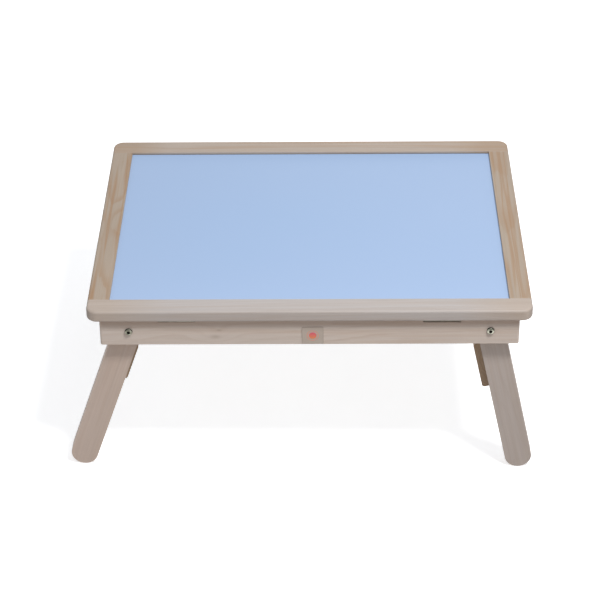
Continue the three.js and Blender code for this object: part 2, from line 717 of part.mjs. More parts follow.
function leg(y0, y1, inward, stretcher) {
  const half = LEG_WIDTH / 2;
  const bore = cylinderAlongY(BOLT_RADIUS + GAP, y0 - 1, y1 + 1, 0, 0);
  const seat = inward * (half + stretcher.proud - STRETCHER_THICKNESS - GAP);
  const outside = inward * (half + 1);
  const seatFront = LEG_FACE_INSET + STRETCHER_SETBACK - GAP;
  const housing = box(
    Math.min(seat, outside), Math.max(seat, outside), seatFront, LID_DEPTH - seatFront,
    -stretcher.bottom - GAP, -STRETCHER_TOP + GAP);
  return cut(extrudeAlongY(legOutline(), y0, y1), bore, housing);
}

function stretcherBoard(inward, stretcher) {
  const outer = LEG_WIDTH / 2 + stretcher.proud;
  const inner = outer - STRETCHER_THICKNESS;
  const radius = STRETCHER_EDGE_RADIUS;
  const shape = new THREE.Shape();
  shape.moveTo(inner, -stretcher.bottom);
  shape.lineTo(outer - radius, -stretcher.bottom);
  shape.absarc(outer - radius, -stretcher.bottom + radius, radius, -Math.PI / 2, 0);
  shape.lineTo(outer, -STRETCHER_TOP - radius);
  shape.absarc(outer - radius, -STRETCHER_TOP - radius, radius, 0, Math.PI / 2);
  shape.lineTo(inner, -STRETCHER_TOP);
  const y0 = LEG_FACE_INSET + STRETCHER_SETBACK;
  const geometry = extrudeAlongY(shape, y0, LID_DEPTH - y0, 6);
  if (inward < 0) {
    geometry.rotateZ(Math.PI);
    geometry.translate(0, LID_DEPTH, 0);
  }
  return geometry;
}

// Turned about the y axis, then laid along x through the middle of a stretcher board,
// with y = 0 of the profile on the board's outer face.
function layThroughStretcher(geometry, inward, stretcher, y) {
  geometry.rotateZ(inward < 0 ? Math.PI / 2 : -Math.PI / 2);
  geometry.translate(
    inward * (LEG_WIDTH / 2 + stretcher.proud), y, -(STRETCHER_TOP + stretcher.bottom) / 2);
  return geometry;
}

function woodScrewProfile(margin, headTop) {
  const { shank, head, rim, neck, taper, length } = WOOD_SCREW;
  return [
    [0, -length - margin], [shank + margin, taper - length - margin], [shank + margin, -neck],
    [head + margin, -rim], [head + margin, headTop], [0, headTop],
  ];
}

// A cross-head wood screw driven through the stretcher board into a leg's inner edge.
function stretcherScrew(inward, stretcher, y) {
  const arm = 2;
  const half = 0.4;
  const depth = 1.4;
  const recess = join(
    box(-arm, arm, -depth, 1, -half, half), box(-half, half, -depth, 1, -arm, arm));
  const screw = cut(turned(woodScrewProfile(0, 0), 20), recess);
  return layThroughStretcher(screw, inward, stretcher, y);
}

function screwBore(inward, stretcher, y) {
  return layThroughStretcher(turned(woodScrewProfile(GAP, 1), 20), inward, stretcher, y);
}

function buildLegPair(table, side, splay, inward, stretcher) {
  const pair = new THREE.Group();
  pair.position.set(-inward * PIVOT_X, 0, -PIVOT_DROP);
  pair.rotation.y = THREE.MathUtils.degToRad(inward * splay);
  table.add(pair);

  const bearing = (LEG_FACE_INSET + STRETCHER_SETBACK + LEG_BACK_INSET) / 2;
  const ends = [
    ['front', LEG_FACE_INSET, LEG_BACK_INSET, bearing],
    ['rear', LID_DEPTH - LEG_BACK_INSET, LID_DEPTH - LEG_FACE_INSET, LID_DEPTH - bearing],
  ];
  const bores = ends.map(([, , , y]) => screwBore(inward, stretcher, y));
  for (const [index, [end, y0, y1, screwY]] of ends.entries()) {
    const board = cut(leg(y0, y1, inward, stretcher), bores[index]);
    const screw = stretcherScrew(inward, stretcher, screwY);
    place(pair, `${side}_${end}_leg`, board, 'pine_leg');
    place(pair, `${side}_${end}_stretcher_screw`, screw, 'steel');
  }
  place(pair, `${side}_stretcher`, cut(stretcherBoard(inward, stretcher), ...bores), 'pine_dark');
}

// ---------------------------------------------------------------- prop

// A steel rod bail folded flat under the lid. Swung down square to the lid, its foot
// stands in the groove along the rear apron's top edge.
function buildProp(lid) {
  const half = PROP_WIDTH / 2;
  const foot = PROP_PIVOT_Y - PROP_LENGTH;
  const end = half + PROP_TURNOUT;
  const at = (x, y) => new THREE.Vector3(x, y, PROP_Z);
  const route = new THREE.CurvePath();
  addRoundedRoute(route, [
    at(-end, PROP_PIVOT_Y), at(-half, PROP_PIVOT_Y), at(-half, foot),
    at(half, foot), at(half, PROP_PIVOT_Y), at(end, PROP_PIVOT_Y),
  ], PROP_BEND_RADIUS);
  place(lid, 'prop_bail', rodAlong(route, PROP_ROD_RADIUS, 10, 90), 'steel');
  for (const [name, side] of [['left', -1], ['right', 1]]) {
    place(lid, `${name}_prop_saddle`, propSaddle(side * (end - SADDLE.inset)), 'steel');
  }
}

// A strap bent over the rod, with a flat ear on each side under the back panel.
function propSaddle(centreX) {
  const inner = PROP_ROD_RADIUS + GAP;
  const outer = inner + SADDLE.thickness;
  const ear = SADDLE.ear;
  const top = BACK_UNDERSIDE - GAP - PROP_Z;
  const earBottom = top - SADDLE.thickness;
  const shape = new THREE.Shape();
  shape.moveTo(-ear, top);
  shape.lineTo(-ear, earBottom);
  shape.lineTo(-outer, earBottom);
  shape.lineTo(-outer, 0);
  shape.absarc(0, 0, outer, Math.PI, 2 * Math.PI);
  shape.lineTo(outer, earBottom);
  shape.lineTo(ear, earBottom);
  shape.lineTo(ear, top);
  shape.lineTo(inner, top);
  shape.lineTo(inner, 0);
  shape.absarc(0, 0, inner, 2 * Math.PI, Math.PI, true);
  shape.lineTo(-inner, top);
  const geometry = extrudeAlongX(shape, centreX - SADDLE.width / 2, centreX + SADDLE.width / 2);
  geometry.translate(0, PROP_PIVOT_Y, PROP_Z);
  return geometry;
}

// ---------------------------------------------------------------- assembly

const group = new THREE.Group();
const table = new THREE.Group();
table.position.set(-(LEFT_FOOT_X + RIGHT_FOOT_X) / 2, -LID_DEPTH / 2, LOWEST_FOOT);
group.add(table);

const lid = new THREE.Group();
const base = new THREE.Group();
table.add(lid, base);

buildLidFrame(lid);
buildLightPack(lid);
buildPower(lid);
buildProp(lid);
buildAprons(base);
buildLabel(base);
buildHinge('left', -HINGE_X, lid, base);
buildHinge('right', HINGE_X, lid, base);
for (const [side, x] of [['left', -PIVOT_X], ['right', PIVOT_X]]) {
  buildPivot(base, `${side}_front_pivot`, x, -1);
  buildPivot(base, `${side}_rear_pivot`, x, 1);
}
buildLegPair(table, 'left', LEFT_SPLAY, 1, LEFT_STRETCHER);
buildLegPair(table, 'right', RIGHT_SPLAY, -1, RIGHT_STRETCHER);

export default group;
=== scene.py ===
"""A pine drawing light box on folding legs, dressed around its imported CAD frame.

Metres, +Z up, front is -Y. Boards keep the shapes of their CAD nodes and get softened
edges; each one has its own cut of procedural pine, with the grain along the board.
"""

import json
import math

import bmesh
import bpy
from mathutils import Matrix, Vector

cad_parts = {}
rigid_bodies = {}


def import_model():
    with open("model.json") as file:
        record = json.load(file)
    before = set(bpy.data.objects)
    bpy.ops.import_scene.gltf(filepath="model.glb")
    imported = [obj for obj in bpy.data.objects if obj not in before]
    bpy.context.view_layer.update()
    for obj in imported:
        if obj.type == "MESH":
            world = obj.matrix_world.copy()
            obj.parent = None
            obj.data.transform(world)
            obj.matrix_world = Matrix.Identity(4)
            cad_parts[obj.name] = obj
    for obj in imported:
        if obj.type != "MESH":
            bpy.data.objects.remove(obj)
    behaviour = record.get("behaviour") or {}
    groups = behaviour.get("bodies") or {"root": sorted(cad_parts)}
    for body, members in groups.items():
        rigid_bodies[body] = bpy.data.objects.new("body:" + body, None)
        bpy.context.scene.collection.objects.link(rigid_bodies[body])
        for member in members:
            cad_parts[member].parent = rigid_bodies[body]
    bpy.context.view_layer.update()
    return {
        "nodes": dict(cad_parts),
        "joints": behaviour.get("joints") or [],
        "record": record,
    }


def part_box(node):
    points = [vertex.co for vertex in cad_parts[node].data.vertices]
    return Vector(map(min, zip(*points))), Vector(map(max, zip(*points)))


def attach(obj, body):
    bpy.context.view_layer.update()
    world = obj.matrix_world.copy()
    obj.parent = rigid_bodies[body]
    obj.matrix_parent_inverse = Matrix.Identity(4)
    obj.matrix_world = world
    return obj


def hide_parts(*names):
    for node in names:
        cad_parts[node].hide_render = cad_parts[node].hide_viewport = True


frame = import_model()

MM = 0.001
BODIES = frame["record"]["behaviour"]["bodies"]
BODY_OF = {node: body for body, nodes in BODIES.items() for node in nodes}
JOINTS = {joint["name"]: joint for joint in frame["joints"]}

# ------------------------------------------------------------------ places in the frame

LID_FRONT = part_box("lid_front_rail")[0].y
LEFT_PIVOT = Vector(JOINTS["left_leg_fold"]["pos_m"])
RIGHT_PIVOT = Vector(JOINTS["right_leg_fold"]["pos_m"])
LEFT_SPLAY = math.radians(19.2)
RIGHT_SPLAY = math.radians(12.4)
LEFT_LEG_AXIS = Vector((-math.sin(LEFT_SPLAY), 0.0, -math.cos(LEFT_SPLAY)))
RIGHT_LEG_AXIS = Vector((math.sin(RIGHT_SPLAY), 0.0, -math.cos(RIGHT_SPLAY)))
LEG_HALF_SIZE = (130.8, 18.6, 10.0)  # millimetres: half the length, width and thickness
ALONG_X = Vector((1.0, 0.0, 0.0))
ALONG_Y = Vector((0.0, 1.0, 0.0))
UP = Vector((0.0, 0.0, 1.0))

CAMERA_PLACE = Vector((0.0324, -2.562, 1.7792))
CAMERA_PITCH = math.radians(32.637)
CAMERA_YAW = math.radians(-0.782)
CAMERA_ROLL = math.radians(0.605)
SENSOR_MM = 36.0
LENS_MM = 124.32


def centre(node):
    low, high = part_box(node)
    return (low + high) / 2


# ------------------------------------------------------------------ node graphs in code

def colour_sockets(sockets):
    return [socket for socket in sockets if socket.type == "RGBA"]


class Graph:
    """Short-hand for building one material's shader nodes."""

    def __init__(self, name):
        self.material = bpy.data.materials.new(name)
        self.material.use_nodes = True
        self.nodes = self.material.node_tree.nodes
        self.links = self.material.node_tree.links
        self.nodes.clear()

    def node(self, kind, inputs=None, **settings):
        made = self.nodes.new(kind)
        for key, value in settings.items():
            setattr(made, key, value)
        for key, value in (inputs or {}).items():
            self.feed(made.inputs[key], value)
        return made

    def feed(self, socket, value):
        if isinstance(value, bpy.types.NodeSocket):
            self.links.new(value, socket)
        else:
            socket.default_value = value

    def math(self, operation, *values, clamp=False):
        made = self.node("ShaderNodeMath", operation=operation, use_clamp=clamp)
        for socket, value in zip(made.inputs, values):
            self.feed(socket, value)
        return made.outputs[0]

    def vector(self, operation, *values):
        made = self.node("ShaderNodeVectorMath", operation=operation)
        for socket, value in zip(made.inputs, values):
            self.feed(socket, value)
        gives_a_number = operation in ("LENGTH", "DOT_PRODUCT", "DISTANCE")
        return made.outputs["Value"] if gives_a_number else made.outputs[0]

    def noise(self, vector, stretch, detail=2.0, rough=0.5, seed=0.0):
        scaled = self.vector("MULTIPLY", vector, stretch)
        moved = self.vector("ADD", scaled, (seed * 3.1, seed * 7.7, seed * 5.3))
        made = self.node("ShaderNodeTexNoise", {
            "Vector": moved, "Scale": 1.0, "Detail": detail, "Roughness": rough})
        return made.outputs["Fac"]

    def ramp(self, factor, stops):
        made = self.node("ShaderNodeValToRGB", {"Fac": factor})
        ramp = made.color_ramp
        ramp.interpolation = "LINEAR"
        while len(ramp.elements) < len(stops):
            ramp.elements.new(0.5)
        for element, (place, value) in zip(ramp.elements, stops):
            element.position = place
            level = value if isinstance(value, tuple) else (value, value, value)
            element.color = (*level, 1.0)
        return made.outputs["Color"]

    def mix(self, factor, first, second):
        made = self.node("ShaderNodeMix", data_type="RGBA", blend_type="MIX")
        self.feed(made.inputs[0], factor)
        for socket, value in zip(colour_sockets(made.inputs), (first, second)):
            self.feed(socket, (*value, 1.0) if isinstance(value, tuple) else value)
        return colour_sockets(made.outputs)[0]

    def scale(self, colour, factor):
        made = self.node("ShaderNodeVectorMath", operation="SCALE")
        self.feed(made.inputs[0], colour)
        self.feed(made.inputs["Scale"], factor)
        return made.outputs[0]

    def bump(self, height, depth):
        made = self.node("ShaderNodeBump", {
            "Height": height, "Distance": depth, "Strength": 1.0})
        return made.outputs["Normal"]

    def surface(self, inputs):
        shader = self.node("ShaderNodeBsdfPrincipled", inputs)
        out = self.node("ShaderNodeOutputMaterial")
        self.links.new(shader.outputs[0], out.inputs["Surface"])
        return self.material


# ------------------------------------------------------------------ pine

def board_mapping(graph, middle, grain, face):
    """Board coordinates in millimetres: X along the grain, Z out of the wide face."""
    x_axis = grain.normalized()
    z_axis = (face - face.dot(x_axis) * x_axis).normalized()
    y_axis = z_axis.cross(x_axis)
    turn = Matrix((x_axis, y_axis, z_axis))
    shift = -(turn @ (middle / MM))
    place = graph.node("ShaderNodeTexCoord").outputs["Object"]
    mapping = graph.node("ShaderNodeMapping", {"Vector": place}, vector_type="POINT")
    mapping.inputs["Location"].default_value = shift
    mapping.inputs["Rotation"].default_value = turn.to_euler("XYZ")
    mapping.inputs["Scale"].default_value = (1 / MM, 1 / MM, 1 / MM)
    return mapping.outputs["Vector"], x_axis


def board_half_size(node, grain, face):
    """Half the board's length, width and thickness in millimetres."""
    if node.endswith("_leg"):
        return LEG_HALF_SIZE
    low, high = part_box(node)
    size = (high - low) / (2 * MM)
    across = face.cross(grain)
    return tuple(sum(abs(axis[i]) * size[i] for i in range(3)) for axis in (grain, across, face))


def edge_nearness(graph, split, half, ragged_noise):
    """1 on the arrises of a board, falling to 0 a few millimetres in, ragged as if rubbed."""
    gaps = [
        graph.math("SUBTRACT", size, graph.math("ABSOLUTE", value))
        for size, value in zip(half, split)]
    low = graph.math("MINIMUM", gaps[0], gaps[1])
    high = graph.math("MAXIMUM", gaps[0], gaps[1])
    second = graph.math("MAXIMUM", low, graph.math("MINIMUM", high, gaps[2]))
    ragged = graph.math("MULTIPLY_ADD", ragged_noise, 1.6, graph.math("SUBTRACT", second, 0.8))
    return graph.ramp(graph.math("DIVIDE", ragged, 4.0), [(0.0, 1.0), (0.35, 0.35), (0.8, 0.0)])


def sum_of_squares(graph, first, second):
    return graph.math(
        "ADD", graph.math("MULTIPLY", first, first), graph.math("MULTIPLY", second, second))


def knot_bulge(graph, x, y, knots):
    """How far the growth rings are pushed aside round each knot, and where the knots are."""
    push = 0.0
    spot = 0.0
    for knot_x, knot_y, reach, strength, core in knots:
        away_x = graph.math("MULTIPLY", graph.math("SUBTRACT", x, knot_x), 0.45)
        away_y = graph.math("SUBTRACT", y, knot_y)
        squared = sum_of_squares(graph, away_x, away_y)
        fall = graph.math("EXPONENT", graph.math("MULTIPLY", squared, -1.0 / (reach * reach)))
        push = graph.math("MULTIPLY_ADD", fall, strength, push)
        if core > 0:
            inner = graph.math("EXPONENT", graph.math("MULTIPLY", squared, -1.0 / (core * core)))
            spot = graph.math("ADD", spot, inner)
    return push, spot


def painted_shade_line(graph, bottom, top, axis, face, strength):
    """Painted shade: a soft dark line between two heights on the face that lies at "face" along
    "axis".
    """
    place = graph.node("ShaderNodeTexCoord").outputs["Object"]
    levels = graph.node("ShaderNodeSeparateXYZ", {"Vector": place}).outputs
    within = graph.math("DIVIDE", graph.math("SUBTRACT", levels["Z"], bottom), top - bottom)
    line = graph.ramp(within, [(0.0, 0.0), (0.02, 1.0), (0.55, 0.85), (1.0, 0.0)])
    away = graph.math("ABSOLUTE", graph.math("SUBTRACT", levels[axis], face))
    on_face = graph.math("LESS_THAN", away, 0.4 * MM)
    return graph.math("MULTIPLY", graph.math("MULTIPLY", line, on_face), strength)


# How fast each noise changes per millimetre: along the grain, across it and through the board.
SLOW_BEND = (0.0045, 0.03, 0.03)
QUICK_BEND = (0.03, 0.16, 0.16)
PATCHES = (0.006, 0.035, 0.035)
FIBRES = (0.05, 2.6, 2.6)
STREAKS = (0.008, 0.45, 0.45)
BANDS = (0.0035, 0.13, 0.13)
DASHES = (0.22, 3.4, 3.4)
PORES = (0.6, 3.0, 3.0)

# Added to a board's own seed, so that its noises differ from each other.
QUICK_SEED = 1.7
FIBRE_SEED = 2.3
STREAK_SEED = 3.9
PATCH_SEED = 4.1
BAND_SEED = 6.6
DASH_SEED = 8.2
PORE_SEED = 9.4

KNOT_HEART = (0.20, 0.115, 0.06)
BUMP_DEPTH = 0.00012


def shaded(colour, factors):
    return tuple(min(1.0, channel * factor) for channel, factor in zip(colour, factors))


def ring_phase(graph, place, split, slow, push, seed, pith, tilt, spacing, wander):
    """How many growth rings lie between a point and the pith, which lies outside the board."""
    x, y, z = split
    pith_y = graph.math("MULTIPLY_ADD", x, tilt[0], pith[0])
    pith_z = graph.math("MULTIPLY_ADD", x, tilt[1], pith[1])
    from_y = graph.math("SUBTRACT", y, pith_y)
    from_z = graph.math("SUBTRACT", z, pith_z)
    quick = graph.noise(place, QUICK_BEND, detail=3.0, seed=seed + QUICK_SEED)
    radius = graph.math("SQRT", sum_of_squares(graph, from_y, from_z))
    radius = graph.math("MULTIPLY_ADD", slow, wander * 2, radius)
    radius = graph.math("MULTIPLY_ADD", quick, 1.5, radius)
    radius = graph.math("ADD", radius, push)
    return graph.math("DIVIDE", radius, spacing)


def latewood_lines(graph, phase):
    """The darker line that ends each year's growth, stronger in some years."""
    line = graph.ramp(graph.math("FRACT", phase), [
        (0.0, 0.25), (0.12, 0.0), (0.55, 0.12), (0.86, 1.0), (0.96, 0.9), (1.0, 0.25)])
    year = graph.node(
        "ShaderNodeTexWhiteNoise", {"W": graph.math("FLOOR", phase)}, noise_dimensions="1D")
    weight = graph.math("MULTIPLY_ADD", year.outputs["Value"], 0.6, 0.4)
    return graph.math("MULTIPLY", line, weight)


def tint_ends(graph, colour, x, slow, start, finish, tint):
    """The board takes the tint towards both ends, from "start" to "finish" from its middle."""
    reach = graph.math("MULTIPLY_ADD", slow, 40.0, graph.math("ABSOLUTE", x))
    toward = graph.math(
        "DIVIDE", graph.math("SUBTRACT", reach, start), finish - start, clamp=True)
    return graph.mix(graph.math("MULTIPLY", toward, 0.55), colour, tint)


def vary_tone(graph, colour, streak, fibre, patches):
    """Small uneven changes of brightness along and across the board."""
    tone = graph.math("MULTIPLY_ADD", streak, 0.20, 0.90)
    tone = graph.math("MULTIPLY", tone, graph.math("MULTIPLY_ADD", fibre, 0.10, 0.95))
    tone = graph.math("MULTIPLY", tone, graph.math("MULTIPLY_ADD", patches, 0.12, 0.94))
    return graph.scale(colour, tone)


def add_bands(graph, colour, place, seed, late, strength):
    """Broad warm bands along the board."""
    band = graph.noise(place, BANDS, detail=2.0, seed=seed + BAND_SEED)
    warm = graph.ramp(band, [(0.46, 0.0), (0.60, 1.0), (0.66, 0.2)])
    band_colour = shaded(late, (1.04, 1.0, 0.92))
    return graph.mix(graph.math("MULTIPLY", warm, strength), colour, band_colour)


def add_end_grain(graph, colour, end_grain, place, seed, latewood, early, late):
    """The sawn ends are darker and speckled with open pores."""
    pores = graph.noise(place, PORES, detail=2.0, seed=seed + PORE_SEED)
    end_tone = graph.math("MULTIPLY_ADD", pores, 0.5, 0.5)
    end_early = shaded(early, (0.86, 0.80, 0.72))
    end_colour = graph.scale(graph.mix(latewood, end_early, late), end_tone)
    return graph.mix(graph.math("MULTIPLY", end_grain, 0.75), colour, end_colour)


def pine(name, node, grain, face, early, late, seed, pith=(4.0, -38.0), tilt=(0.02, 0.015),
         spacing=3.4, contrast=0.6, wander=5.0, knots=(), knot_depth=0.5, streaks=0.25,
         ends=None, painted_shade=None):
    """Planed pine: growth rings, fine fibres, resin dashes, darker end grain, rubbed edges and an
    optional line of painted shade.

    "knots" are (along, across, reach, push, core) in board millimetres; "ends" is (start, finish,
    tint); the last argument is (bottom, top, axis, face, strength, colour): a line of painted shade
    on one face.
    """
    graph = Graph(name)
    place, x_axis = board_mapping(graph, centre(node), grain, face)
    split = graph.node("ShaderNodeSeparateXYZ", {"Vector": place}).outputs
    slow = graph.noise(place, SLOW_BEND, detail=2.0, seed=seed)
    push, spot = knot_bulge(graph, split[0], split[1], knots)
    phase = ring_phase(graph, place, split, slow, push, seed, pith, tilt, spacing, wander)
    latewood = latewood_lines(graph, phase)

    patches = graph.noise(place, PATCHES, detail=2.0, seed=seed + PATCH_SEED)
    fibre = graph.noise(place, FIBRES, detail=3.0, rough=0.6, seed=seed + FIBRE_SEED)
    streak = graph.noise(place, STREAKS, detail=3.0, rough=0.6, seed=seed + STREAK_SEED)
    fade = graph.ramp(patches, [(0.3, 0.35), (0.7, 1.0)])
    amount = graph.math("MULTIPLY", graph.math("MULTIPLY", latewood, fade), contrast)
    colour = graph.mix(amount, early, late)
    if ends:
        colour = tint_ends(graph, colour, split[0], slow, *ends)
    colour = vary_tone(graph, colour, streak, fibre, patches)
    colour = add_bands(graph, colour, place, seed, late, streaks)
    if not isinstance(spot, float):
        heart = graph.math("MULTIPLY", spot, knot_depth, clamp=True)
        colour = graph.mix(heart, colour, KNOT_HEART)
    dash = graph.noise(place, DASHES, detail=1.0, seed=seed + DASH_SEED)
    dash = graph.ramp(dash, [(0.70, 0.0), (0.78, 1.0)])
    resin = shaded(late, (0.60, 0.55, 0.50))
    colour = graph.mix(graph.math("MULTIPLY", dash, 0.22), colour, resin)

    normal = graph.node("ShaderNodeTexCoord").outputs["Normal"]
    facing = graph.math("ABSOLUTE", graph.vector("DOT_PRODUCT", normal, tuple(x_axis)))
    end_grain = graph.ramp(facing, [(0.55, 0.0), (0.9, 1.0)])
    colour = add_end_grain(graph, colour, end_grain, place, seed, latewood, early, late)

    near_edge = edge_nearness(graph, split, board_half_size(node, grain, face), streak)
    rubbed = shaded(early, (1.10, 1.10, 1.08))
    colour = graph.mix(graph.math("MULTIPLY", near_edge, 0.4), colour, rubbed)
    # A line of painted shade mixed over the wood on one face.
    if painted_shade:
        *line, shade_colour = painted_shade
        colour = graph.mix(painted_shade_line(graph, *line), colour, shade_colour)

    rough = graph.math("MULTIPLY_ADD", fibre, 0.16, 0.46)
    height = graph.math("MULTIPLY_ADD", latewood, 0.45, graph.math("MULTIPLY", fibre, 0.7))
    height = graph.math("SUBTRACT", height, graph.math("MULTIPLY", dash, 0.35))
    return graph.surface({
        "Base Color": colour,
        "Roughness": graph.math("MULTIPLY_ADD", end_grain, 0.15, rough),
        "Normal": graph.bump(height, BUMP_DEPTH),
        "Specular IOR Level": 0.38,
        "Coat Weight": 0.12,
        "Coat Roughness": 0.38,
    })


# ------------------------------------------------------------------ other materials

OPAL_MIDDLE = (0.328, 0.450, 0.655)
OPAL_EDGE = (0.358, 0.465, 0.660)
SCRATCH_DEPTH = 0.00002
MOULD_TEXTURE_DEPTH = 0.00003
LABEL_REACH = 20.0  # millimetres: the distances in the label's dot and ring are parts of it


def opal_material():
    """Satin opal acrylic with a faint painted cold glow, as if lit from below.

    It is an even pale blue; the painted glow is brighter along the two lamp strips, and it has the
    finest hairline rubs from paper.
    """
    graph = Graph("opal_acrylic")
    place = graph.node("ShaderNodeTexCoord").outputs["Object"]
    cloud = graph.noise(place, (5.0, 5.0, 5.0), detail=2.0, seed=2.0)
    split = graph.node("ShaderNodeSeparateXYZ", {"Vector": place})
    low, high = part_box("opal_panel")
    half_width, half_depth, _ = (high - low) / 2
    depth = graph.math("ABSOLUTE", graph.math("DIVIDE", split.outputs["Y"], half_depth))
    near_lamps = graph.math("POWER", depth, 6.0)
    across = graph.math("DIVIDE", split.outputs["X"], half_width)
    outward = graph.math("SQRT", sum_of_squares(graph, across, depth))
    clouding = graph.math("MULTIPLY_ADD", cloud, 0.5, -0.35)
    pale = graph.math("MULTIPLY_ADD", graph.math("MINIMUM", outward, 1.3), 0.6, clouding)
    toward_edge = graph.math("MAXIMUM", pale, 0.0, clamp=True)
    colour = graph.mix(toward_edge, OPAL_MIDDLE, OPAL_EDGE)
    # Painted glow: a faint emission, stronger near the two lamp strips.
    painted_glow = graph.math("MULTIPLY_ADD", near_lamps, 0.02, 0.10)
    scuffs = graph.noise(place, (60.0, 900.0, 900.0), detail=2.0, seed=5.0)
    rough = graph.math("MULTIPLY_ADD", scuffs, 0.12, 0.42)
    grain = graph.noise(place, (1500.0, 1500.0, 1500.0), detail=1.0, seed=7.0)
    return graph.surface({
        "Base Color": colour,
        "Roughness": rough,
        "Normal": graph.bump(grain, SCRATCH_DEPTH),
        "Specular IOR Level": 0.3,
        "Emission Color": (0.55, 0.72, 1.0, 1.0),
        "Emission Strength": painted_glow,
    })


def plated_material(name, base, worn, rough_low, rough_high, spots=0.35):
    """Plated steel: cloudy patina, rubbed bright in patches, with fine scratches."""
    graph = Graph(name)
    place = graph.node("ShaderNodeTexCoord").outputs["Object"]
    cloud = graph.noise(place, (220.0, 220.0, 220.0), detail=4.0, rough=0.6, seed=1.0)
    rubbed = graph.ramp(cloud, [(0.42, 0.0), (0.66, 1.0)])
    scratch = graph.noise(place, (2600.0, 160.0, 2600.0), detail=2.0, seed=3.0)
    colour = graph.mix(graph.math("MULTIPLY", rubbed, spots), base, worn)
    rough = graph.math("MULTIPLY_ADD", scratch, rough_high - rough_low, rough_low)
    return graph.surface({
        "Base Color": colour,
        "Metallic": 1.0,
        "Roughness": rough,
        "Normal": graph.bump(scratch, SCRATCH_DEPTH),
    })


def bolt_material():
    """The pivot bolts' patinated steel, with painted shade in the hex sockets and a painted contact
    shadow round the heads' rims.
    """
    graph = Graph("bolt_steel")
    place = graph.node("ShaderNodeTexCoord").outputs["Object"]
    flat = graph.vector("MULTIPLY", place, (1.0, 0.0, 1.0))
    reaches = [
        graph.vector("DISTANCE", flat, (pivot.x, 0.0, pivot.z))
        for pivot in (LEFT_PIVOT, RIGHT_PIVOT)]
    radius = graph.math("MULTIPLY", graph.math("MINIMUM", *reaches), 1 / MM)
    cloud = graph.noise(place, (220.0, 220.0, 220.0), detail=4.0, rough=0.6, seed=1.0)
    scratch = graph.noise(place, (2600.0, 160.0, 2600.0), detail=2.0, seed=3.0)
    rubbed = graph.ramp(cloud, [(0.40, 0.1), (0.60, 1.0)])
    colour = graph.mix(rubbed, (0.15, 0.145, 0.105), (0.52, 0.51, 0.42))
    # Painted shade: dark in the hex socket and in a ring round the head's rim.
    painted_shade = graph.ramp(graph.math("DIVIDE", radius, 6.0), [
        (0.36, 1.0), (0.42, 0.0), (0.70, 0.0), (0.86, 0.9), (1.0, 0.9)])
    colour = graph.mix(painted_shade, colour, (0.018, 0.017, 0.013))
    rough = graph.math("MULTIPLY_ADD", scratch, 0.18, 0.24)
    return graph.surface({
        "Base Color": colour,
        "Metallic": 1.0,
        "Roughness": graph.math("MULTIPLY_ADD", painted_shade, 0.3, rough),
        "Normal": graph.bump(scratch, SCRATCH_DEPTH),
    })


def plastic_material(name, base, rough=0.5):
    """Moulded plastic with a fine texture and faint cloudiness."""
    graph = Graph(name)
    place = graph.node("ShaderNodeTexCoord").outputs["Object"]
    grain = graph.noise(place, (2200.0, 2200.0, 2200.0), detail=1.0, seed=1.0)
    cloud = graph.noise(place, (40.0, 40.0, 40.0), detail=3.0, seed=2.0)
    light = tuple(min(1.0, channel * 1.12 + 0.004) for channel in base)
    return graph.surface({
        "Base Color": graph.mix(cloud, base, light),
        "Roughness": graph.math("MULTIPLY_ADD", cloud, 0.15, rough - 0.07),
        "Normal": graph.bump(grain, MOULD_TEXTURE_DEPTH),
        "Specular IOR Level": 0.45,
    })


def sheet_metal_material():
    """Mill-finish aluminium: long rolling marks along X and dull handling blooms."""
    graph = Graph("mill_aluminium")
    place = graph.node("ShaderNodeTexCoord").outputs["Object"]
    rolled = graph.noise(place, (6.0, 1400.0, 1400.0), detail=3.0, rough=0.6, seed=1.0)
    bloom = graph.noise(place, (14.0, 14.0, 14.0), detail=4.0, seed=2.0)
    colour = graph.mix(bloom, (0.52, 0.53, 0.54), (0.66, 0.67, 0.68))
    rough = graph.math("MULTIPLY_ADD", rolled, 0.2, graph.math("MULTIPLY_ADD", bloom, 0.16, 0.25))
    return graph.surface({
        "Base Color": colour,
        "Metallic": 1.0,
        "Roughness": rough,
        "Normal": graph.bump(rolled, SCRATCH_DEPTH),
    })


def clear_material():
    """Clear acrylic with the light guide's printed dots, which are matt."""
    graph = Graph("clear_acrylic")
    place = graph.node("ShaderNodeTexCoord").outputs["Object"]
    dots = graph.node("ShaderNodeTexVoronoi", {"Vector": place, "Scale": 260.0})
    rough = graph.ramp(dots.outputs["Distance"], [(0.18, 0.5), (0.24, 0.06)])
    return graph.surface({
        "Base Color": (0.93, 0.96, 0.98, 1.0),
        "Roughness": rough,
        "Transmission Weight": 0.9,
        "IOR": 1.49,
    })


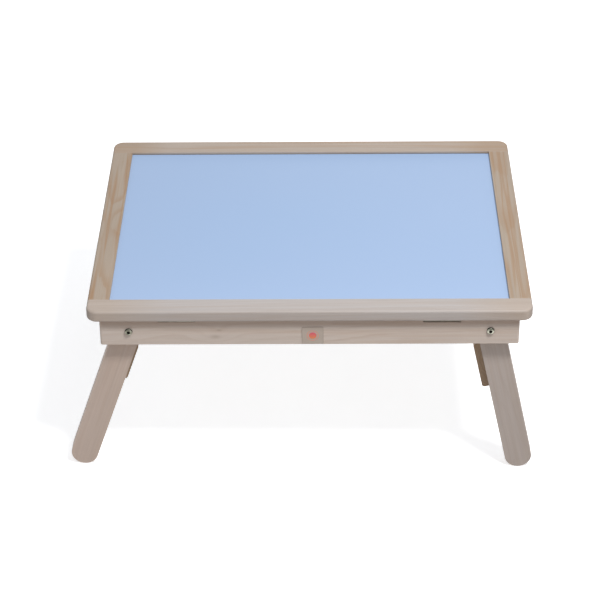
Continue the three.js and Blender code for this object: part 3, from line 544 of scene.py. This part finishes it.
def label_material():
    """Plain pale paper label, darker along its cut edge, with a coral dot inside a thin ring."""
    graph = Graph("label_paper")
    low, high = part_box("front_label")
    half_width, _, half_height = (high - low) / 2
    place = graph.node("ShaderNodeTexCoord").outputs["Object"]
    local = graph.vector("SUBTRACT", place, tuple(centre("front_label")))
    split = graph.node("ShaderNodeSeparateXYZ", {"Vector": local})
    x, _, z = split.outputs
    flat = graph.node("ShaderNodeCombineXYZ", {"X": x, "Z": z})
    away = graph.math("MULTIPLY", graph.vector("LENGTH", flat.outputs[0]), 1 / MM)
    reach = graph.math("DIVIDE", away, LABEL_REACH)
    dot = graph.ramp(reach, [(0.255, 1.0), (0.27, 0.0)])
    ring = graph.ramp(reach, [(0.36, 0.0), (0.37, 1.0), (0.40, 1.0), (0.41, 0.0)])
    across = graph.math("DIVIDE", graph.math("ABSOLUTE", x), half_width)
    upright = graph.math("DIVIDE", graph.math("ABSOLUTE", z), half_height)
    rim = graph.ramp(graph.math("MAXIMUM", across, upright), [(0.93, 0.0), (0.97, 1.0)])
    fibres = graph.noise(place, (700.0, 700.0, 700.0), detail=3.0, seed=1.0)
    paper = graph.mix(fibres, (0.50, 0.42, 0.355), (0.57, 0.485, 0.415))
    shade = graph.math("DIVIDE", graph.math("ADD", z, 6.0 * MM), 12.0 * MM)
    height = graph.math("MAXIMUM", graph.math("MINIMUM", shade, 1.0), 0.0)
    coral = graph.mix(height, (0.86, 0.30, 0.10), (0.80, 0.10, 0.20))
    colour = graph.mix(graph.math("MULTIPLY", rim, 0.45), paper, (0.33, 0.27, 0.23))
    colour = graph.mix(ring, colour, (0.80, 0.32, 0.22))
    colour = graph.mix(dot, colour, coral)
    return graph.surface({
        "Base Color": colour,
        "Roughness": graph.math("MULTIPLY_ADD", fibres, 0.2, 0.4),
        "Normal": graph.bump(fibres, SCRATCH_DEPTH),
        "Specular IOR Level": 0.4,
    })


ANTIQUE = plated_material(
    "antique_steel", (0.115, 0.105, 0.08), (0.44, 0.43, 0.34), 0.22, 0.40, spots=0.55)
BOLT = bolt_material()
ZINC = plated_material(
    "zinc_steel", (0.42, 0.43, 0.42), (0.62, 0.63, 0.62), 0.2, 0.4, spots=0.6)
BLACK = plastic_material("black_plastic", (0.022, 0.022, 0.024))
WHITE = plastic_material("white_plastic", (0.80, 0.80, 0.78), rough=0.55)
OPAL = opal_material()
SHEET = sheet_metal_material()
CLEAR = clear_material()
LABEL = label_material()


# ------------------------------------------------------------------ pieces from CAD shapes

WELD_REACH = 0.002 * MM
FLAT_SEAM = math.radians(0.6)
BROKEN_EDGE_ANGLE = math.radians(50.0)
ANY_CORNERS = 4096


def clean_mesh(mesh, sharp_angle, most_corners):
    """Joins the split vertices, removes the facets' flat seams and marks real edges sharp.

    A flat face with more than "most_corners" corners, such as one round a groove, is cut
    into triangles, so that bevelling can't fold it over.
    """
    work = bmesh.new()
    work.from_mesh(mesh)
    bmesh.ops.remove_doubles(work, verts=work.verts, dist=WELD_REACH)
    bmesh.ops.dissolve_limit(
        work, angle_limit=FLAT_SEAM, verts=work.verts, edges=work.edges)
    holed = [
        face for face in work.faces
        if len({vertex.index for vertex in face.verts}) > most_corners]
    bmesh.ops.triangulate(work, faces=holed, quad_method="BEAUTY", ngon_method="BEAUTY")
    work.to_mesh(mesh)
    work.free()
    mesh.polygons.foreach_set("use_smooth", [True] * len(mesh.polygons))
    mesh.set_sharp_from_angle(angle=math.radians(sharp_angle))
    mesh.update()


def dress(node, material, bevel=0.0, sharp_angle=35.0, segments=3, most_corners=ANY_CORNERS):
    """A refined copy of a CAD node's shape that stands for it: edges broken, shading smooth."""
    source = frame["nodes"][node]
    mesh = source.data.copy()
    mesh.name = f"{node}_piece"
    piece = bpy.data.objects.new(f"{node}_piece", mesh)
    bpy.context.scene.collection.objects.link(piece)
    clean_mesh(mesh, sharp_angle, most_corners)
    mesh.materials.clear()
    mesh.materials.append(material)
    if bevel > 0:
        soften = piece.modifiers.new("broken_edges", "BEVEL")
        soften.width = bevel
        soften.segments = segments
        soften.limit_method = "ANGLE"
        soften.angle_limit = BROKEN_EDGE_ANGLE
        soften.harden_normals = False
        soften.use_clamp_overlap = True
        weighted = piece.modifiers.new("flat_faces", "WEIGHTED_NORMAL")
        weighted.keep_sharp = True
        weighted.weight = 90
    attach(piece, BODY_OF[node])
    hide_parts(node)
    return piece


def paint(node, material):
    """A CAD node whose shape is right as it is keeps it and gets its material."""
    mesh_object = frame["nodes"][node]
    if not mesh_object.material_slots:
        mesh_object.data.materials.append(material)
    for slot in mesh_object.material_slots:
        slot.material = material


# Linear colours of the planed surface and of its darker yearly bands.
RAIL_EARLY = (0.440, 0.352, 0.272)
RAIL_LATE = (0.368, 0.206, 0.100)
REAR_EARLY = (0.488, 0.402, 0.332)
REAR_LATE = (0.420, 0.278, 0.178)
FRONT_EARLY = (0.512, 0.464, 0.436)
FRONT_LATE = (0.432, 0.350, 0.300)
APRON_EARLY = (0.680, 0.584, 0.514)
APRON_LATE = (0.550, 0.425, 0.345)
LEFT_LEG_EARLY = (0.626, 0.504, 0.428)
LEFT_LEG_LATE = (0.520, 0.392, 0.320)
RIGHT_LEG_EARLY = (0.510, 0.440, 0.396)
RIGHT_LEG_LATE = (0.420, 0.338, 0.288)
BOARD_EARLY = (0.56, 0.42, 0.30)
BOARD_LATE = (0.40, 0.26, 0.16)

# Painted shade in the gap round the panel, and the painted shadow under the lid's overhang.
GAP_SHADE_BROWN = (0.10, 0.07, 0.05)
SHADE_BROWN = (0.26, 0.14, 0.075)


def close_joint(piece, axis, reach):
    """Pushes a board's two end faces out by "reach" so that it meets its neighbours."""
    values = [vertex.co[axis] for vertex in piece.data.vertices]
    low, high = min(values), max(values)
    for vertex in piece.data.vertices:
        if vertex.co[axis] < low + 0.1 * MM:
            vertex.co[axis] -= reach
        elif vertex.co[axis] > high - 0.1 * MM:
            vertex.co[axis] += reach


def panel_gap_shade(axis, face):
    """Painted shade: the dark line where a rail's lip meets the panel, in the gap between them."""
    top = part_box("opal_panel")[1].z
    strength = 0.75
    return (top - 0.2 * MM, top + 1.9 * MM, axis, face, strength, GAP_SHADE_BROWN)


def dress_lid_rails():
    rear_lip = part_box("lid_rear_rail")[0].y
    right_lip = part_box("lid_right_rail")[0].x
    arris = 0.35 * MM
    joint_reach = 0.27 * MM
    dress("lid_front_rail", pine(
        "pine_front_rail", "lid_front_rail", ALONG_X, UP, FRONT_EARLY, FRONT_LATE, 3.0,
        pith=(-46.0, -60.0), tilt=(0.015, 0.02), spacing=4.2, contrast=0.40, wander=6.0, streaks=0.3,
        ends=(215.0, 290.0, (0.500, 0.385, 0.290)),
        knots=((285.0, 12.0, 24.0, 26.0, 0.0), (240.0, 24.0, 20.0, 12.0, 0.0))), arris)
    dress("lid_rear_rail", pine(
        "pine_rear_rail", "lid_rear_rail", ALONG_X, UP, REAR_EARLY, REAR_LATE, 11.0,
        pith=(30.0, -70.0), tilt=(0.012, 0.01), spacing=4.6, contrast=0.55, wander=5.0, streaks=0.5,
        ends=(235.0, 285.0, (0.400, 0.270, 0.170)), painted_shade=panel_gap_shade("Y", rear_lip)), arris)
    left = dress("lid_left_rail", pine(
        "pine_left_rail", "lid_left_rail", ALONG_Y, UP, RAIL_EARLY, RAIL_LATE, 5.0,
        pith=(-6.0, -40.0), tilt=(0.045, 0.03), spacing=6.2, contrast=0.72, wander=7.0, streaks=0.65,
        knots=((10.0, -14.0, 22.0, 10.0, 0.0),)), arris)
    right = dress("lid_right_rail", pine(
        "pine_right_rail", "lid_right_rail", ALONG_Y, UP, RAIL_EARLY, RAIL_LATE, 8.0,
        pith=(8.0, -42.0), tilt=(-0.03, 0.03), spacing=6.6, contrast=0.66, wander=6.0, streaks=0.6,
        painted_shade=panel_gap_shade("X", right_lip)), arris)
    for rail in (left, right):
        close_joint(rail, 1, joint_reach)


def dress_aprons():
    arris = 1.0 * MM
    low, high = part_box("front_apron")
    # Painted shadow under the lid's overhang: a brown band from the apron's top down past the strip
    # the lid hides from the camera, then fading out.
    hidden = (low.y - LID_FRONT) * math.tan(CAMERA_PITCH)
    fade = 9.0 * MM
    strength = 0.42
    overhang_shadow = (high.z, high.z - hidden - fade, "Y", low.y, strength, SHADE_BROWN)
    dress("front_apron", pine(
        "pine_front_apron", "front_apron", ALONG_X, -ALONG_Y, APRON_EARLY, APRON_LATE, 14.0,
        pith=(-30.0, -50.0), tilt=(0.02, 0.02), spacing=4.0, contrast=0.50, wander=6.0, streaks=0.35,
        knots=((-127.0, -7.5, 13.0, 5.0, 3.0), (-122.0, 3.0, 9.0, 3.0, 1.6)), knot_depth=0.28,
        painted_shade=overhang_shadow), arris)
    dress("rear_apron", pine(
        "pine_rear_apron", "rear_apron", ALONG_X, ALONG_Y, APRON_EARLY, APRON_LATE, 17.0,
        pith=(10.0, -44.0), tilt=(0.03, 0.02), spacing=3.9, contrast=0.5, wander=6.0,
        knots=((130.0, -4.0, 15.0, 7.0, 3.8),)), arris, most_corners=4)
    for side, seed in (("left", 20.0), ("right", 23.0)):
        face = -ALONG_X if side == "left" else ALONG_X
        dress(f"{side}_apron", pine(
            f"pine_{side}_apron", f"{side}_apron", ALONG_Y, face, APRON_EARLY, APRON_LATE, seed,
            pith=(6.0, -36.0), tilt=(0.02, 0.03), spacing=3.6, contrast=0.55), 0.8 * MM)


def dress_leg(node, axis, colours, seed):
    face = -ALONG_Y if "front" in node else ALONG_Y
    dress(node, pine(
        f"pine_{node}", node, axis, face, *colours, seed, pith=(-22.0, -58.0),
        tilt=(0.03, 0.03), spacing=4.0, contrast=0.35, wander=6.0), 1.3 * MM)


def dress_stretcher(node, face, seed):
    dress(node, pine(
        f"pine_{node}", node, ALONG_Y, face, BOARD_EARLY, BOARD_LATE, seed, pith=(3.0, -30.0),
        tilt=(0.02, 0.02), spacing=4.0, contrast=0.6, wander=6.0), 0.6 * MM, most_corners=8)


def dress_leg_pairs():
    left_colours = (LEFT_LEG_EARLY, LEFT_LEG_LATE)
    right_colours = (RIGHT_LEG_EARLY, RIGHT_LEG_LATE)
    left_face = Vector((-LEFT_LEG_AXIS.z, 0.0, LEFT_LEG_AXIS.x))
    right_face = Vector((RIGHT_LEG_AXIS.z, 0.0, -RIGHT_LEG_AXIS.x))
    dress_leg("left_front_leg", LEFT_LEG_AXIS, left_colours, 31.0)
    dress_leg("left_rear_leg", LEFT_LEG_AXIS, left_colours, 34.0)
    dress_stretcher("left_stretcher", left_face, 51.0)
    dress_leg("right_front_leg", RIGHT_LEG_AXIS, right_colours, 37.0)
    dress_leg("right_rear_leg", RIGHT_LEG_AXIS, right_colours, 40.0)
    dress_stretcher("right_stretcher", right_face, 57.0)


def dress_metal():
    leaf_arris = 0.15 * MM
    arris = 0.2 * MM
    screw_arris = 0.1 * MM
    for side in ("left", "right"):
        for leaf in ("lid_leaf", "apron_leaf"):
            dress(f"{side}_hinge_{leaf}", ANTIQUE, leaf_arris, sharp_angle=40.0, segments=2)
        dress(f"{side}_hinge_pin", ANTIQUE, arris, segments=2)
        dress(f"{side}_prop_saddle", ZINC, arris, segments=2)
        for end in ("front", "rear"):
            pivot = f"{side}_{end}_pivot"
            dress(f"{pivot}_bolt", BOLT, arris, segments=2)
            dress(f"{pivot}_washer", ZINC, arris, segments=2)
            dress(f"{pivot}_nut", ZINC, arris, segments=2)
            dress(f"{side}_{end}_stretcher_screw", ZINC, screw_arris, segments=2)
    for index in range(6):
        dress(f"back_screw_{index + 1}", ZINC, screw_arris, segments=2)
    build_prop_rod()


# ------------------------------------------------------------------ rod, rivets and screws

def new_piece(name, vertices, faces, material, node, replaces=False):
    """A mesh piece that rides on a CAD node's body and takes its finish from a slot."""
    mesh = bpy.data.meshes.new(name)
    mesh.from_pydata([tuple(vertex) for vertex in vertices], [], faces)
    mesh.polygons.foreach_set("use_smooth", [True] * len(mesh.polygons))
    mesh.set_sharp_from_angle(angle=math.radians(40.0))
    mesh.materials.append(material)
    piece = bpy.data.objects.new(name, mesh)
    bpy.context.scene.collection.objects.link(piece)
    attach(piece, BODY_OF[node])
    if replaces:
        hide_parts(node)
    return piece


def rounded_route(corners, radius, steps=14):
    """Points along straight runs joined by quarter circles at the inner corners."""
    route = [corners[0]]
    for before, corner, after in zip(corners, corners[1:], corners[2:]):
        into = (before - corner).normalized()
        out = (after - corner).normalized()
        hub = corner + (into + out) * radius
        for step in range(steps + 1):
            angle = step / steps * math.pi / 2
            route.append(hub - out * radius * math.cos(angle) - into * radius * math.sin(angle))
    route.append(corners[-1])
    return route


def ring_faces(rings, sides):
    """Faces of a closed body made of stacked rings of "sides" vertices each."""
    faces = []
    for ring in range(rings - 1):
        for side in range(sides):
            here = ring * sides + side
            beside = ring * sides + (side + 1) % sides
            faces.append((here, beside, beside + sides, here + sides))
    faces.append(tuple(reversed(range(sides))))
    faces.append(tuple(range((rings - 1) * sides, rings * sides)))
    return faces


def around(sides):
    """Even angles round a full turn."""
    return [2 * math.pi * side / sides for side in range(sides)]


def rod_corners(rod_radius, turnout):
    """The bail's centre line: a wide U between two turned-out ends, flat under the lid."""
    low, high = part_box("prop_bail")
    depth = (low.z + high.z) / 2
    middle = (low.x + high.x) / 2
    pivot_y = high.y - rod_radius
    foot_y = low.y + rod_radius
    end = (high.x - low.x) / 2
    half = end - turnout
    corners = [
        (-end, pivot_y), (-half, pivot_y), (-half, foot_y),
        (half, foot_y), (half, pivot_y), (end, pivot_y)]
    return [Vector((middle + x, y, depth)) for x, y in corners]


def rod_rings(route, rod_radius, chamfer):
    """Place, sideways direction and radius of each ring, with both ends chamfered."""
    rings = []
    for index, point in enumerate(route):
        ahead = route[min(index + 1, len(route) - 1)] - route[max(index - 1, 0)]
        across = UP.cross(ahead).normalized()
        rings.append((point, across, rod_radius))
    first = (route[0], rings[0][1], rod_radius - chamfer)
    last = (route[-1], rings[-1][1], rod_radius - chamfer)
    inset = ALONG_X * chamfer
    rings[0] = (route[0] + inset, rings[0][1], rod_radius)
    rings[-1] = (route[-1] - inset, rings[-1][1], rod_radius)
    return [first, *rings, last]


def build_prop_rod():
    """The bail as one round rod that stands for the CAD's one."""
    rod_radius = 2.0 * MM
    bend_radius = 8.0 * MM
    turnout = 20.0 * MM
    chamfer = 0.5 * MM
    sides = 24
    route = rounded_route(rod_corners(rod_radius, turnout), bend_radius)
    rings = rod_rings(route, rod_radius, chamfer)
    vertices = []
    for point, across, radius in rings:
        for angle in around(sides):
            spoke = across * math.cos(angle) + UP * math.sin(angle)
            vertices.append(point + spoke * radius)
    faces = ring_faces(len(rings), sides)
    new_piece(
        "prop_bail_rod", vertices, faces, ZINC, "prop_bail", replaces=True)


def sideways(facing):
    """Two directions square to "facing" and to each other."""
    start = ALONG_X if abs(facing.x) < 0.9 else ALONG_Y
    across = start.cross(facing).normalized()
    return across, facing.cross(across)


def turned_head(profile, place, facing, sides=28):
    """A small turned head: (radius, rise) pairs in millimetres, from the seat to the crown."""
    across, upward = sideways(facing)
    vertices = []
    for radius, rise in profile:
        for angle in around(sides):
            spoke = across * math.cos(angle) + upward * math.sin(angle)
            vertices.append(place + facing * (rise * MM) + spoke * (radius * MM))
    return vertices, ring_faces(len(profile), sides)


def build_saddle_rivets():
    """A dome rivet through each ear of the prop's saddles, into the back panel."""
    dome = [(1.9, 0.0), (1.85, 0.35), (1.6, 0.7), (1.15, 0.95), (0.55, 1.08)]
    ear = 6.4 * MM
    strap = 1.1 * MM
    for side in ("left", "right"):
        saddle = f"{side}_prop_saddle"
        middle = centre(saddle)
        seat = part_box(saddle)[1].z - strap
        for end, sign in (("front", -1), ("rear", 1)):
            place = Vector((middle.x, middle.y + sign * ear, seat))
            vertices, faces = turned_head(dome, place, -UP)
            name = f"{side}_saddle_{end}_rivet"
            new_piece(name, vertices, faces, ZINC, saddle)


def cross_prism(place, facing, arm, width, depth):
    """A cross-shaped prism, "depth" deep below the place and twice as high above it."""
    across, upward = sideways(facing)
    outline = [
        (-arm, -width), (-width, -width), (-width, -arm), (width, -arm),
        (width, -width), (arm, -width), (arm, width), (width, width),
        (width, arm), (-width, arm), (-width, width), (-arm, width)]
    vertices = []
    for rise in (-depth, 2 * depth):
        for u, v in outline:
            vertices.append(place + facing * rise + across * u + upward * v)
    mesh = bpy.data.meshes.new("cross_cutter")
    mesh.from_pydata([tuple(v) for v in vertices], [], ring_faces(2, len(outline)))
    work = bmesh.new()
    work.from_mesh(mesh)
    bmesh.ops.recalc_face_normals(work, faces=work.faces)
    work.to_mesh(mesh)
    work.free()
    return mesh


def cut_away(piece, cutter_mesh):
    """Takes the cutter's shape out of a piece and leaves nothing of the cutter behind."""
    cutter = bpy.data.objects.new("cross_cutter", cutter_mesh)
    bpy.context.scene.collection.objects.link(cutter)
    cutter.parent = piece.parent
    recess = piece.modifiers.new("recess", "BOOLEAN")
    recess.object = cutter
    recess.operation = "DIFFERENCE"
    recess.solver = "EXACT"
    bpy.context.view_layer.update()
    graph = bpy.context.evaluated_depsgraph_get()
    carved = bpy.data.meshes.new_from_object(piece.evaluated_get(graph))
    piece.modifiers.clear()
    piece.data = carved
    bpy.data.objects.remove(cutter)


def build_hinge_screws():
    """Two flush cross-head screws in each hinge leaf, seen when the lid is up."""
    head = [(2.3, -0.4), (2.3, 0.05), (2.15, 0.16), (1.4, 0.24), (0.6, 0.27)]
    crown = head[-1][1] * MM
    spacing = 14.0 * MM
    setback = 3.6 * MM
    leaf_thickness = 1.2 * MM
    arm = 1.3 * MM
    slot_half_width = 0.28 * MM
    slot_depth = 0.5 * MM
    for side in ("left", "right"):
        for leaf, facing in (("lid_leaf", -UP), ("apron_leaf", UP)):
            node = f"{side}_hinge_{leaf}"
            low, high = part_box(node)
            middle = centre(node)
            face_z = high.z - leaf_thickness if leaf == "lid_leaf" else low.z + leaf_thickness
            for end, sign in (("left", -1), ("right", 1)):
                place = Vector((middle.x + sign * spacing, high.y - setback, face_z))
                vertices, faces = turned_head(head, place, facing)
                name = f"{node}_{end}_screw"
                piece = new_piece(name, vertices, faces, ANTIQUE, node)
                top = place + facing * crown
                cut_away(piece, cross_prism(top, facing, arm, slot_half_width, slot_depth))


def paint_the_rest():
    paint("opal_panel", OPAL)
    paint("light_guide", CLEAR)
    paint("reflector_sheet", WHITE)
    paint("back_panel", SHEET)
    paint("led_strip_front", WHITE)
    paint("led_strip_rear", WHITE)
    for lead in ("link_lead", "socket_lead", "strip_lead"):
        paint(lead, BLACK)
    dress("dc_socket", BLACK, 0.2 * MM, segments=2)
    dress("switch_body", BLACK, 0.3 * MM, segments=2)
    dress("switch_rocker", BLACK, 0.3 * MM, segments=2)
    paint("front_label", LABEL)


# ------------------------------------------------------------------ stage, light, camera

FLOOR_TILT = math.radians(0.686)
FLOOR_RIGHT_CONTACT_X = 0.305  # where the right feet touch, at the part's own zero height
FLOOR_HALF_SIZE = 40.0
FLOOR_GAP = 0.2 * MM
FLOOR_GLOW = 0.585


def build_floor():
    """A plain pale sweep, tilted by the lean that lets all four feet stand on it."""
    half = FLOOR_HALF_SIZE
    corners = [(-half, -half, 0.0), (half, -half, 0.0), (half, half, 0.0), (-half, half, 0.0)]
    mesh = bpy.data.meshes.new("floor")
    mesh.from_pydata(corners, [], [(0, 1, 2, 3)])
    floor = bpy.data.objects.new("floor", mesh)
    bpy.context.scene.collection.objects.link(floor)
    floor.rotation_euler = (0.0, FLOOR_TILT, 0.0)
    floor.location = (0.0, 0.0, FLOOR_RIGHT_CONTACT_X * math.tan(FLOOR_TILT) - FLOOR_GAP)
    graph = Graph("floor_paper")
    place = graph.node("ShaderNodeTexCoord").outputs["Object"]
    cloud = graph.noise(place, (1.5, 1.5, 1.5), seed=1.0)
    grain = graph.noise(place, (900.0, 900.0, 900.0), seed=2.0)
    floor.data.materials.append(graph.surface({
        "Base Color": graph.mix(cloud, (0.90, 0.90, 0.90), (0.93, 0.93, 0.93)),
        "Roughness": 0.9,
        "Normal": graph.bump(grain, 0.00005),
        "Specular IOR Level": 0.1,
        "Emission Color": (1.0, 1.0, 1.0, 1.0),
        "Emission Strength": FLOOR_GLOW,
    }))
    floor.visible_diffuse = False


def area_light(name, place, target, size, power):
    light = bpy.data.lights.new(name, "AREA")
    light.shape = "DISK"
    light.size = size
    light.energy = power
    holder = bpy.data.objects.new(name, light)
    bpy.context.scene.collection.objects.link(holder)
    holder.location = place
    holder.rotation_euler = (Vector(place) - Vector(target)).to_track_quat("Z", "Y").to_euler()


WARM_BELOW = (1.0, 0.90, 0.83)
COOL_ABOVE = (0.94, 0.99, 1.06)
SKY_STRENGTH = 0.43
SKY_BLEND = 0.6  # the height of a direction at which the sky is fully cool or fully warm


def build_sky():
    """Even light from all round, cool from above and warm from below."""
    world = bpy.data.worlds.new("studio")
    bpy.context.scene.world = world
    world.use_nodes = True
    nodes = world.node_tree.nodes
    links = world.node_tree.links
    height = nodes.new("ShaderNodeSeparateXYZ")
    links.new(nodes.new("ShaderNodeTexCoord").outputs["Generated"], height.inputs[0])
    ramp = nodes.new("ShaderNodeMapRange")
    ramp.inputs["From Min"].default_value = -SKY_BLEND
    ramp.inputs["From Max"].default_value = SKY_BLEND
    links.new(height.outputs["Z"], ramp.inputs["Value"])
    tint = nodes.new("ShaderNodeMix")
    tint.data_type = "RGBA"
    below, above = colour_sockets(tint.inputs)
    below.default_value = (*WARM_BELOW, 1.0)
    above.default_value = (*COOL_ABOVE, 1.0)
    links.new(ramp.outputs[0], tint.inputs[0])
    background = nodes["Background"]
    links.new(colour_sockets(tint.outputs)[0], background.inputs["Color"])
    background.inputs["Strength"].default_value = SKY_STRENGTH


def build_lights():
    """A high key light from the front right and a weak, low fill from behind."""
    area_light("key", (0.92, -1.22, 2.86), (0.0, 0.0, 0.2), size=0.55, power=62.0)
    area_light("rear_fill", (0.3, 4.6, 0.75), (0.0, 0.1, 0.2), size=1.4, power=26.0)


def build_camera():
    forward = Vector((
        math.sin(CAMERA_YAW) * math.cos(CAMERA_PITCH),
        math.cos(CAMERA_YAW) * math.cos(CAMERA_PITCH),
        -math.sin(CAMERA_PITCH)))
    right = Vector((math.cos(CAMERA_YAW), -math.sin(CAMERA_YAW), 0.0))
    down = forward.cross(right)
    turned_right = math.cos(CAMERA_ROLL) * right + math.sin(CAMERA_ROLL) * down
    turned_down = math.cos(CAMERA_ROLL) * down - math.sin(CAMERA_ROLL) * right
    data = bpy.data.cameras.new("camera")
    data.sensor_width = SENSOR_MM
    data.lens = LENS_MM
    camera = bpy.data.objects.new("camera", data)
    bpy.context.scene.collection.objects.link(camera)
    axes = Matrix((turned_right, -turned_down, -forward)).transposed()
    camera.matrix_world = Matrix.Translation(CAMERA_PLACE) @ axes.to_4x4()
    bpy.context.scene.camera = camera


# ------------------------------------------------------------------ the whole scene

bpy.context.scene.view_settings.view_transform = "Standard"
build_camera()
build_sky()
build_lights()
build_floor()
dress_lid_rails()
dress_aprons()
dress_leg_pairs()
dress_metal()
build_saddle_rivets()
build_hinge_screws()
paint_the_rest()
